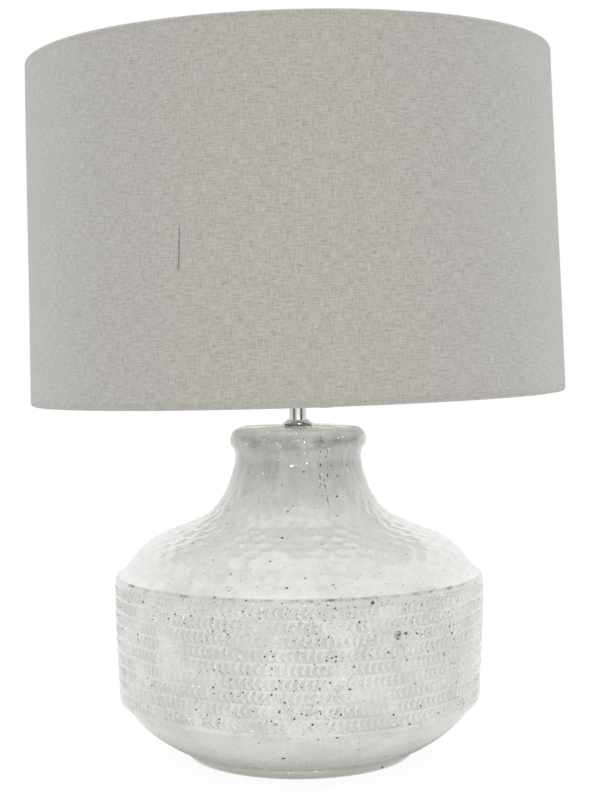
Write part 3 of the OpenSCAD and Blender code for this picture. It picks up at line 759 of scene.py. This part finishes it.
def linen(own):
    """Slubbed plain weave: fine threads both ways, thick places in the yarn, flecks, a dark thread."""
    material, tree, shader = surface(
        "grey linen", Roughness=0.92, Sheen_Weight=0.6, Sheen_Roughness=0.45,
        Specular_IOR_Level=0.25)
    round_it = round_the_stem(tree)
    up = round_it["Height"]
    across = times(tree, round_it["Angle"], own.low_radius)
    flat = add(tree, "ShaderNodeCombineXYZ", {0: across, 1: up}).outputs[0]
    per_metre = 1.0 / own.thread

    def threads(scale_across, scale_up, detail):
        return grain(tree, stretched(tree, flat, (scale_across, scale_up, 1.0)), 1.0, detail, 0.6)

    def wave(way):
        drifting = calc(tree, "ADD", way, drift)
        return calc(tree, "SINE", times(tree, drifting, FULL_TURN * per_metre))

    drift = times(tree, threads(160.0, 160.0, 2.0), 0.0006)
    weave = times(tree, wave(across), wave(up))
    warp = threads(per_metre * 0.95, 130.0, 3.0)
    weft = threads(125.0, per_metre * 0.8, 3.0)
    mottle = threads(per_metre * 0.35, per_metre * 0.35, 2.0)
    shade = plus(tree, warp, 0.36, times(tree, weft, 0.42))
    shade = plus(tree, mottle, 0.22, shade)
    shade = plus(tree, weave, 0.05, shade)
    base = tint(tree, span(tree, shade, 0.50, 0.62), own.linen, own.pale_thread)
    base = tint(tree, span(tree, shade, 0.48, 0.39), base, own.dark_thread)

    slub = span(tree, threads(90.0, per_metre * 0.55, 1.0), 0.66, 0.74)
    upright_slub = span(tree, threads(per_metre * 0.5, 75.0, 1.0), 0.67, 0.76)
    slanted = plus(tree, up, DARK_THREAD_SLANT, across)
    one_thread = times(tree, near(tree, slanted, DARK_THREAD_AT, 0.0003, 0.0008),
                       window(tree, up, *DARK_THREAD_ENDS))
    hem = most(tree, falling(tree, up, 4.5 * MM, 5.5 * MM),
               span(tree, up, own.height - 5.5 * MM, own.height - 4.5 * MM))
    for mask, strength, rgb in (
        (slub, 0.30, own.dark_thread),
        (upright_slub, 0.24, own.dark_thread),
        (one_thread, 0.6, own.fleck),
        (specks(tree, 42.0, 0.14, 0.028), 0.7, own.fleck),
        (hem, 0.16, own.dark_thread),
    ):
        base = tint(tree, times(tree, mask, strength), base, rgb)

    height = plus(tree, shade, 2.2, times(tree, weave, 0.35))
    height = plus(tree, slub, 0.5, height)
    connect(tree, shader, Base_Color=base, Normal=bump(tree, height, 0.00022, 0.8))
    return material


def felt(rgb, lint):
    """Needled felt: matted fibres with a loose nap."""
    material, tree, shader = surface("dark felt", Roughness=0.97, Sheen_Weight=0.5)
    matted = fine_texture(tree, 900.0)
    fibres = fine_texture(tree, 500.0, (1.0, 5.0, 1.0))
    base = tint(tree, span(tree, matted, 0.4, 0.7), rgb, dimmed(rgb, 2.4))
    base = tint(tree, times(tree, specks(tree, 600.0, 0.12, 0.2), 0.6), base, lint)
    both = calc(tree, "ADD", matted, fibres)
    connect(tree, shader, Base_Color=base, Normal=bump(tree, both, 0.0005))
    return material


def coated_wire(rgb):
    """Powder coat: an orange-peel skin with a few pinholes."""
    material, tree, shader = surface("white powder coat", Coat_Weight=0.2, Coat_Roughness=0.2)
    peel = fine_texture(tree, 2200.0)
    patches = smudges(tree, 25.0)
    base = tint(tree, patches, rgb, dimmed(rgb, 0.93))
    base = tint(tree, specks(tree, 500.0, 0.04, 0.12), base, dimmed(rgb, 0.4))
    connect(tree, shader, Base_Color=base, Roughness=span(tree, patches, 0.0, 1.0, 0.32, 0.46),
            Normal=bump(tree, peel, 0.00008))
    return material


def opal(rgb):
    """Opal cover of the bulb: even and satin, with a faint drawn ripple."""
    material, tree, shader = surface("opal cover", Subsurface_Weight=0.25, Subsurface_Scale=0.004)
    ripple = fine_texture(tree, 110.0)
    patches = smudges(tree, 22.0)
    base = tint(tree, times(tree, patches, 0.5), rgb, dimmed(rgb, 0.95))
    connect(tree, shader, Base_Color=base, Roughness=span(tree, patches, 0.0, 1.0, 0.24, 0.36),
            Normal=bump(tree, ripple, 0.0001))
    return material


# ---------------------------------------------------------------- operators


def settings():
    return bpy.context.scene.lamp


def dress(material, *nodes):
    """Gives CAD nodes a finish."""
    for name in nodes:
        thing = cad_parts.get(name)
        if thing is None:
            raise RuntimeError(f"the frame has no node {name}")
        thing.data.materials.clear()
        thing.data.materials.append(material)


class LAMP_OT_stage(bpy.types.Operator):
    """Camera, floor and soft studio light"""

    bl_idname = "lamp.stage"
    bl_label = "Stage"

    def execute(self, context):
        own = settings().stage
        scene = context.scene
        scene.camera = self.camera(own)
        bpy.ops.mesh.primitive_circle_add(vertices=96, radius=own.floor_radius, fill_type="NGON")
        floor = context.active_object
        floor.name = "floor"
        floor.data.materials.append(self.pale_floor(own))
        scene.world = self.room(own)
        self.lamp("key", own.key_power, own.key_width, own.key_place)
        self.lamp("spark_left", own.spark_power, own.spark_width, own.spark_left)
        self.lamp("spark_right", own.spark_power, own.spark_width, own.spark_right)
        for side in (-1, 1):
            self.screen(own, side)
        scene.view_settings.view_transform = "Standard"
        return {"FINISHED"}

    def camera(self, own):
        camera = bpy.data.objects.new("camera", bpy.data.cameras.new("camera"))
        bpy.context.scene.collection.objects.link(camera)
        camera.data.lens = own.lens
        camera.data.sensor_width = 36.0
        camera.data.clip_start = 0.01
        facing = Matrix.Rotation(math.pi / 2 - own.camera_pitch, 4, "X")
        rolled = Matrix.Rotation(own.camera_roll, 4, "Z")
        camera.matrix_world = Matrix.Translation(own.camera_place) @ facing @ rolled
        return camera

    def pale_floor(self, own):
        """A pale floor, nearly lost in the white behind it. It is clear from below, and to light
        from very near, so that an underside isn't black."""
        material, tree, shader = surface("pale floor", Roughness=0.9)
        worn = grain(tree, here(tree), 3.0, 2.0)
        base = tint(tree, worn, own.floor_colour, dimmed(own.floor_colour, 0.985))
        connect(tree, shader, Base_Color=base)
        glow = add(tree, "ShaderNodeEmission", {"Color": (*WHITE, 1.0), "Strength": 1.06})
        ray = add(tree, "ShaderNodeLightPath").outputs
        lifted = add(tree, "ShaderNodeMixShader", {
            0: times(tree, ray["Is Camera Ray"], own.floor_glow),
            1: shader.outputs[0], 2: glow.outputs[0]})
        below = most(tree, add(tree, "ShaderNodeNewGeometry").outputs["Backfacing"],
                     calc(tree, "LESS_THAN", ray["Ray Length"], own.floor_gap))
        clear = add(tree, "ShaderNodeBsdfTransparent")
        ground = add(tree, "ShaderNodeMixShader", {
            0: below, 1: lifted.outputs[0], 2: clear.outputs[0]})
        fill_in(tree, tree.nodes["Material Output"], {"Surface": ground.outputs[0]})
        return material

    def room(self, own):
        """Soft light, strongest overhead, and plain white to the camera."""
        world = bpy.data.worlds.new("room")
        world.use_nodes = True
        tree = world.node_tree
        way = add(tree, "ShaderNodeTexCoord").outputs["Generated"]
        way = add(tree, "ShaderNodeSeparateXYZ", {0: way}).outputs
        low = span(tree, way[1], -0.35, 0.5, own.room_low, own.room_behind)
        light = span(tree, way[2], 0.05, 0.9, low, own.room_high)
        soft = tree.nodes["Background"]
        fill_in(tree, soft, {"Color": (*own.room_colour, 1.0), "Strength": light})
        seen = add(tree, "ShaderNodeBackground", {"Color": (*WHITE, 1.0), "Strength": 1.0})
        choice = add(tree, "ShaderNodeMixShader", {
            0: add(tree, "ShaderNodeLightPath").outputs["Is Camera Ray"],
            1: soft.outputs[0], 2: seen.outputs[0]})
        fill_in(tree, tree.nodes["World Output"], {"Surface": choice.outputs[0]})
        return world

    def lamp(self, name, power, width, place):
        """A square light that faces the middle of the object."""
        light = bpy.data.lights.new(name, "AREA")
        light.energy = power
        light.size = width
        holder = bpy.data.objects.new(name, light)
        bpy.context.scene.collection.objects.link(holder)
        middle = (cad_box[0] + cad_box[1]) / 2
        facing = (middle - Vector(place)).to_track_quat("-Z", "Y").to_matrix().to_4x4()
        holder.matrix_world = Matrix.Translation(place) @ facing
        holder.visible_camera = False

    def screen(self, own, side):
        """A tall dark screen that only reflections show, as dark stripes down the chrome."""
        bpy.ops.mesh.primitive_plane_add(
            size=1.0, location=(side * own.screen_out, -own.screen_fore, own.screen_middle),
            rotation=(math.pi / 2, 0, side * math.atan2(own.screen_out, own.screen_fore)))
        screen = bpy.context.active_object
        screen.name = "screen_left" if side < 0 else "screen_right"
        screen.scale = (own.screen_width, own.screen_height, 1.0)
        screen.visible_camera = False
        screen.data.materials.append(surface("dark screen", Base_Color=(0.02, 0.02, 0.02, 1.0))[0])


# Outlines of the bowl and the shoulder, as shares of the way in radius and in height.
BOWL = ((0, 0), (0.02, 0.008), (0.2, 0.048), (0.37, 0.18), (0.55, 0.345), (0.72, 0.555),
        (0.845, 0.752), (0.93, 0.872), (0.985, 0.95), (1, 1))
SHOULDER = ((0, 0), (0.047, 0.025), (0.11, 0.103), (0.217, 0.231), (0.343, 0.32), (0.57, 0.421),
            (0.752, 0.507), (0.862, 0.617), (0.94, 0.762), (0.987, 0.92), (1, 1))
# The ridge's rounded edge and the groove over it, in millimetres inwards and up.
RIDGE = ((0.1, -2.6), (0.35, -1.9), (0.8, -1.2), (1.4, -0.6), (2.2, -0.1), (2.6, 0.25), (2.5, 0.7),
         (2.25, 1.1))
# Slow waves round the glass, the wear of its marks and the cloth: turns, radians a metre, phase.
GLASS_WAVES = ((2, 31, 0.3), (3, -22, 1.7), (5, 47, 4.1), (7, -63, 2.2), (11, 80, 5.3))
WEAR_WAVES = ((4, 90, 0.0), (9, -140, 2.0), (13, 60, 4.0))
CLOTH_WAVES = ((3, 11, 0.4), (5, -17, 2.9), (8, 23, 1.2), (13, -9, 5.0), (21, 31, 3.3))


class LAMP_OT_glass(bpy.types.Operator):
    """The moulded glass base, with its band of chevrons and its dimpled shoulder"""

    bl_idname = "lamp.glass"
    bl_label = "Glass base"

    points_per_mark = 4
    band_pitch = 1.3 * MM
    shoulder_pitch = 1.75 * MM
    plain_pitch = 2.5 * MM
    crown = 1 * MM  # how far the closed top rises over the lip
    neck_drop = 2.47  # from the lip's middle line down to the neck, in lip roundings
    dimples_fade = (0.18, 0.21)  # heights between which the dimples get shallower

    def execute(self, context):
        own = settings().glass
        self.own = own
        self.bottom, self.top = GLASS_LOW[2], GLASS_HIGH[2]
        self.band_radius = GLASS_HIGH[0]
        fine = own.marks * self.points_per_mark
        medium, coarse, inner = fine // 2, fine // 4, fine // 8
        self.relief = []
        rings, last = [], None
        for line, count, pattern, pitch in (
            (self.foot(), coarse, None, None),
            (self.bowl(), coarse, self.plain, self.plain_pitch),
            (self.band(), fine, self.chevrons, self.band_pitch),
            (self.ridge(), medium, None, None),
            (self.shoulder(), medium, self.hammered, self.shoulder_pitch),
            (self.lip(), coarse, self.plain, self.plain_pitch),
            (self.inside(), inner, None, None),
        ):
            points = resample(line, pitch) if pitch else np.array(line)
            if last is not None and np.allclose(points[0], last):
                points = points[1:]
            last = points[-1]
            rings.extend(self.rings(points, count, pattern))
        base = round_mesh("glass_wall", rings)
        # The relief attribute carries painted shade for the dimples, which the material darkens.
        relief = base.data.attributes.new("relief", "FLOAT", "POINT")
        relief.data.foreach_set("value", np.concatenate(self.relief))
        self.drill(base)
        base.data.materials.append(WashedGlass(own).build())
        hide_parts("glass_base")
        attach(base, "base")
        return {"FINISHED"}

    def foot(self):
        own = self.own
        rounding = own.foot_rounding
        middle = (own.foot_radius - rounding, self.bottom + rounding)
        rim = [(own.foot_radius - inwards * MM, own.foot_top - below * MM)
               for inwards, below in ((0, 1.8), (0.5, 1.1), (0.7, 0.6))]
        return [(own.recess_radius, self.bottom), *arc(middle, rounding, -90, 0, 8), *rim]

    def bowl(self):
        own = self.own
        start, end = (own.foot_radius, own.foot_top), (own.band_low_radius, own.band_low)
        return smooth_line(between(start, end, BOWL), 6)

    def band(self):
        own = self.own
        high = own.ridge_height - own.band_rim
        return [(mix(self.band_radius, own.band_low_radius, (1 - t) ** 2),
                 mix(own.band_low, high, t)) for t in np.linspace(0, 1, 30)]

    def ridge(self):
        edge = self.own.ridge_height
        return [(self.band_radius - inwards * MM, edge + up * MM) for inwards, up in RIDGE]

    def shoulder(self):
        """From the ridge's groove, where it takes over, to the start of the lip."""
        own = self.own
        ridge = (self.band_radius, own.ridge_height)
        neck = (own.neck_radius, self.top - self.crown - own.lip_rounding * self.neck_drop)
        turn_up = [(neck[0] + 0.35 * MM, neck[1] + 4 * MM), self.lip()[0]]
        return smooth_line(between(ridge, neck, SHOULDER) + turn_up, 6)[4:]

    def lip(self):
        own = self.own
        centre = (own.lip_radius - own.lip_rounding, self.top - self.crown - own.lip_rounding)
        return arc(centre, own.lip_rounding, -42, 90, 16) + [
            (own.nipple_hole + 22 * MM, self.top - 0.45 * MM), (own.nipple_hole + 9 * MM, self.top),
            (own.nipple_hole, self.top)]

    def inside(self):
        """The inner wall from the closed top down to the opening, and the recess under the foot."""
        own = self.own
        ceiling = self.top - own.wall - self.crown
        floor = own.foot_top + own.wall

        def inner(line, pitch):
            return [tuple(p) for p in inset(resample(line, pitch), own.wall)[::-1]]

        return [(own.nipple_hole, ceiling), (own.neck_radius - own.wall - 8 * MM, ceiling),
                *inner(self.shoulder()[8:], 9 * MM), *inner(self.band(), 12 * MM),
                *inner(self.bowl(), 7 * MM)[:-1],
                (own.foot_radius - 1 * MM, floor), (own.opening_radius, floor),
                (own.opening_radius, own.recess_top), (own.recess_radius, own.recess_top)]

    def rings(self, points, count, pattern):
        """Rings of points through a line, with the pattern's relief along the normals."""
        angle = np.arange(count) * FULL_TURN / count
        length = lengths(points)
        rings = []
        for (radius, height), (out_r, out_z), along in zip(points, normals(points), length):
            if pattern is None:
                raised, shown = np.zeros(count), np.ones(count)
            else:
                raised, shown = pattern(angle, height, along, length[-1])
            self.relief.append(shown)
            rings.append(turn(radius + raised * out_r, height + raised * out_z, count))
        return rings

    def uneven(self, angle, height):
        return self.own.waviness * (wander(angle, height, GLASS_WAVES) - 0.6)

    def plain(self, angle, height, along, total):
        fade = smoothstep(0, 6 * MM, along) * smoothstep(0, 6 * MM, total - along)
        return self.uneven(angle, height) * fade, np.ones(len(angle))

    def chevrons(self, angle, height, along, total):
        """Rows of pointed marks, each row raised like a cord between two smooth grooves."""
        own = self.own
        row = along / total * own.rows
        step = math.floor(row)
        up = row - step
        cord = math.sin(math.pi * up) ** 0.5 if 0 < up < 1 else 0.0
        phase = own.marks * angle / FULL_TURN - own.bend * abs(up - 0.5) + own.row_shift * step
        mark = (0.5 + 0.5 * np.cos(FULL_TURN * phase)) ** 1.3
        strength = 0.55 + 0.45 * chance(np.floor(phase), step)
        worn = 0.72 + 0.28 * wander(angle, height, WEAR_WAVES)
        bold = mix(0.75, 1.0, along / total)
        raised = cord * (0.15 + 0.85 * mark * strength * worn * bold)
        fade = min(1.0, (total - along) / (2 * MM))
        level = own.mark_height * (raised - 0.5) * fade + self.uneven(angle, height)
        return level, np.ones(len(angle))

    def hammered(self, angle, height, along, total):
        """Shallow round dimples in staggered rows, shallower towards the neck."""
        own = self.own
        row = along / own.dimple_pitch
        nearest = np.full(len(angle), 9.0)
        for r in (math.floor(row), math.floor(row) + 1):
            column = own.dimples * angle / FULL_TURN + 0.5 * (r % 2)
            cell = np.round(column)
            seat = cell % own.dimples
            aside = column - cell + 0.30 * (chance(seat, r) - 0.5)
            over = row - r + 0.40 * (chance(seat + 31, r) - 0.5)
            nearest = np.minimum(nearest, aside**2 + 0.8 * over**2)
        scoop = np.clip(nearest / 0.36, 0, 1)
        fade = smoothstep(1 * MM, 9 * MM, along) * smoothstep(0, 14 * MM, total - along)
        fade *= 1 - 0.6 * smoothstep(*self.dimples_fade, height)
        wavy = self.uneven(angle, height) * smoothstep(0, 6 * MM, along)
        # The second value is painted shade: it darkens the colour in the dimples.
        return own.dimple_depth * (scoop - 1) * fade + wavy, 1 - 0.35 * (1 - scoop) * fade

    def drill(self, base):
        """Opens the hole that holds the cable grommet, square to the wall."""
        line = np.array(self.bowl())
        middle = (GROMMET_LOW[1] + GROMMET_HIGH[1]) / 2
        index = int(np.argmin(np.abs(line[:, 0] - middle)))
        out = normals(line)[index]
        bpy.ops.mesh.primitive_cylinder_add(
            vertices=48, radius=self.own.inlet_hole, depth=0.03,
            location=(0, line[index][0], line[index][1]),
            rotation=(math.atan2(-out[0], out[1]), 0, 0))
        cutter = bpy.context.active_object
        cut = base.modifiers.new("inlet", "BOOLEAN")
        cut.object = cutter
        cut.solver = "EXACT"
        bpy.context.view_layer.objects.active = base
        bpy.ops.object.modifier_apply(modifier=cut.name)
        bpy.data.objects.remove(cutter)


class LAMP_OT_shade(bpy.types.Operator):
    """The linen drum: one stretched sheet, turned over both hoops and lapped at the back"""

    bl_idname = "lamp.shade"
    bl_label = "Linen shade"

    columns = 288
    wall_rings = 40
    hem_end = math.pi + 0.088  # where the turned hem ends, round from the back
    step_up = 0.55 * MM  # how far the cloth lifts where it lies over another layer
    lap_steps = 8
    lap_layer = 0.4 * MM

    def execute(self, context):
        own = settings().shade
        self.own = own
        cloth_material = linen(own)
        cloth = round_mesh("linen_drum", self.sheet())
        lap = self.lap()
        for piece in (cloth, lap):
            piece.data.materials.append(cloth_material)
            piece.matrix_world = self.leaning()
        context.view_layer.update()
        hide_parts("shade_fabric")
        for piece in (cloth, lap):
            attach(piece, "shade")
        return {"FINISHED"}

    def leaning(self):
        """From the drum's own frame, with Z = 0 at its lower edge, to where it stands."""
        own = self.own
        pivot = Vector((0, 0, FITTER_FOOT))
        left_edge = CLOTH_LOW[2] - pivot.z
        drop = (left_edge + own.low_radius * math.sin(own.lean)) / math.cos(own.lean)
        return (Matrix.Translation(pivot) @ Matrix.Rotation(-own.lean, 4, "Y")
                @ Matrix.Translation((0, 0, drop)))

    def radius(self, up):
        own = self.own
        return mix(own.low_radius, own.top_radius, up / own.height)

    def midline(self):
        """The cloth's middle, from the lower hem to the upper one, as (inwards, up)."""
        own = self.own
        half = own.thickness / 2
        bend = own.hoop_wire + half + 0.1 * MM
        low = bend + half
        high = own.height - low
        top = arc((half + bend, high), bend, 180, -55, 22)
        wall = [(half, up) for up in np.linspace(low, high, self.wall_rings + 2)[1:-1]]
        return [(inwards, own.height - up) for inwards, up in reversed(top)] + wall + top

    def wave(self, angle, up):
        return self.own.slack * wander(angle, up, CLOTH_WAVES)

    def sheet(self):
        own = self.own
        line = np.array(self.midline())
        half = own.thickness / 2
        along = np.gradient(line, axis=0)
        side = np.column_stack([-along[:, 1], along[:, 0]])
        side /= np.linalg.norm(side, axis=1, keepdims=True)
        outer, inner = line + side * half, line - side * half
        angle = np.arange(self.columns) * FULL_TURN / self.columns
        rings = []
        for inwards, up in np.concatenate([outer, inner[::-1]]):
            near_hem = math.exp(-((up / (3.5 * MM)) ** 2))
            over = self.step_up * near_hem * np.exp(-(((angle - self.hem_end) / 0.022) ** 2))
            shift = self.wave(angle, up) + over
            rings.append(turn(self.radius(up) - inwards + shift, up - over * 0.6, self.columns))
        return rings

    def lap(self):
        """The free edge of the cloth, glued down over its other end."""
        own = self.own
        half_turn = own.lap / 2 / own.low_radius
        points, faces = [], []
        heights = np.linspace(0.6 * MM, own.height - 0.6 * MM, self.wall_rings)
        for up in heights:
            for share in np.arange(self.lap_steps + 1) / self.lap_steps:
                off = mix(-half_turn, half_turn, share)
                tail = self.step_up * (1 - smoothstep(0.86, 1.0, share)) * smoothstep(0, 0.1, share)
                glued = self.radius(up) + self.wave(np.array([off]), up)[0] + 0.05 * MM
                radius = glued + float(tail)
                angle = off + math.pi / 2
                points.append((radius * math.cos(angle), radius * math.sin(angle), up))
        for row in range(len(heights) - 1):
            for step in range(self.lap_steps):
                first = row * (self.lap_steps + 1) + step
                above = first + self.lap_steps + 1
                faces.append((first, above, above + 1, first + 1))
        lap = smooth_mesh("linen_lap", points, faces)
        body = lap.modifiers.new("cloth", "SOLIDIFY")
        body.thickness = self.lap_layer
        body.offset = -1.0
        return lap


class LAMP_OT_stem(bpy.types.Operator):
    """The chrome stem and the fastening inside the neck"""

    bl_idname = "lamp.stem"
    bl_label = "Stem and fastening"

    def execute(self, context):
        own = settings().finish
        dress(metal("chrome", own.chrome, 0.07, 0.15), "stem_flange", "stem_tube")
        dress(metal("zinc plated steel", own.zinc, 0.30, 0.8), "threaded_nipple", "hex_nut",
              "lock_washer", "steel_washer", "cap_lock_screw")
        dress(moulded("black rubber", own.rubber, 0.75, 900.0, 0.0001), "rubber_washer")
        dress(moulded("white nylon", own.nylon, 0.42), "seat_washer", "cable_grommet")
        return {"FINISHED"}


class LAMP_OT_underside(bpy.types.Operator):
    """The felt and the plate under the base"""

    bl_idname = "lamp.underside"
    bl_label = "Underside"

    def execute(self, context):
        own = settings().finish
        dress(felt(own.felt, own.felt_lint), "felt_pad")
        dress(moulded("black enamel", own.enamel, 0.38, 1800.0, 0.00006), "bottom_plate")
        return {"FINISHED"}


class LAMP_OT_lampholder(bpy.types.Operator):
    """The lampholder, its contacts and the ring that holds the shade"""

    bl_idname = "lamp.lampholder"
    bl_label = "Lampholder"

    def execute(self, context):
        own = settings().finish
        dress(moulded("white plastic", own.white_plastic, 0.30), "holder_cap", "holder_skirt",
              "shade_ring")
        dress(moulded("steatite", own.steatite, 0.62, 2400.0, 0.00008), "holder_core")
        dress(metal("brass", own.brass, 0.20, 0.7), "terminal_blocks", "terminal_screws",
              "centre_contact", "side_contact", "screw_shell")
        return {"FINISHED"}


class LAMP_OT_fitter(bpy.types.Operator):
    """The wire frame and the liner inside the drum"""

    bl_idname = "lamp.fitter"
    bl_label = "Fitter and liner"

    def execute(self, context):
        own = settings().finish
        dress(coated_wire(own.coated_wire), "top_hoop", "bottom_hoop", "spider_arms",
              "fitter_washer")
        dress(moulded("white liner", own.liner, 0.55, 700.0, 0.00005), "shade_liner")
        return {"FINISHED"}


class LAMP_OT_bulb(bpy.types.Operator):
    """The bulb with its cap and what is inside it"""

    bl_idname = "lamp.bulb"
    bl_label = "Bulb"

    def execute(self, context):
        own = settings().finish
        dress(opal(own.opal), "bulb_globe")
        dress(moulded("bulb plastic", own.bulb_body, 0.34), "bulb_body")
        dress(metal("nickel", own.nickel, 0.24, 0.6), "bulb_cap")
        dress(moulded("black vitrite", own.vitrite, 0.18, 800.0, 0.0001), "bulb_insulator")
        dress(metal("solder", own.solder, 0.36, 0.9), "bulb_tip")
        dress(moulded("board white", own.led_board, 0.35), "led_board")
        dress(moulded("phosphor", own.phosphor, 0.5), "led_chips")
        dress(moulded("board green", own.driver_board, 0.3), "driver_board")
        return {"FINISHED"}


class LampSettings(bpy.types.PropertyGroup):
    stage: PointerProperty(type=LampStageSettings)
    glass: PointerProperty(type=LampGlassSettings)
    shade: PointerProperty(type=LampShadeSettings)
    finish: PointerProperty(type=LampFinishSettings)


OPERATORS = (
    LAMP_OT_stage, LAMP_OT_glass, LAMP_OT_shade, LAMP_OT_stem, LAMP_OT_underside,
    LAMP_OT_lampholder, LAMP_OT_fitter, LAMP_OT_bulb,
)


class LAMP_PT_panel(bpy.types.Panel):
    """Lists the lamp's sizes and the steps that build it"""

    bl_label = "Lamp"
    bl_idname = "LAMP_PT_panel"
    bl_space_type = "VIEW_3D"
    bl_region_type = "UI"
    bl_category = "Lamp"

    def draw(self, context):
        layout = self.layout
        for operator in OPERATORS:
            layout.operator(operator.bl_idname)
        own = context.scene.lamp
        for group in (own.stage, own.glass, own.shade, own.finish):
            box = layout.box()
            for name in type(group).__annotations__:
                box.prop(group, name)


CLASSES = (
    LampStageSettings, LampGlassSettings, LampShadeSettings, LampFinishSettings, LampSettings,
    *OPERATORS, LAMP_PT_panel,
)


def register():
    for kind in CLASSES:
        bpy.utils.register_class(kind)
    bpy.types.Scene.lamp = PointerProperty(type=LampSettings)


def unregister():
    del bpy.types.Scene.lamp
    for kind in reversed(CLASSES):
        bpy.utils.unregister_class(kind)


def main():
    """Builds the lamp."""
    register()
    for operator in OPERATORS:
        group, name = operator.bl_idname.split(".")
        getattr(getattr(bpy.ops, group), name)()


if __name__ == "__main__":
    main()
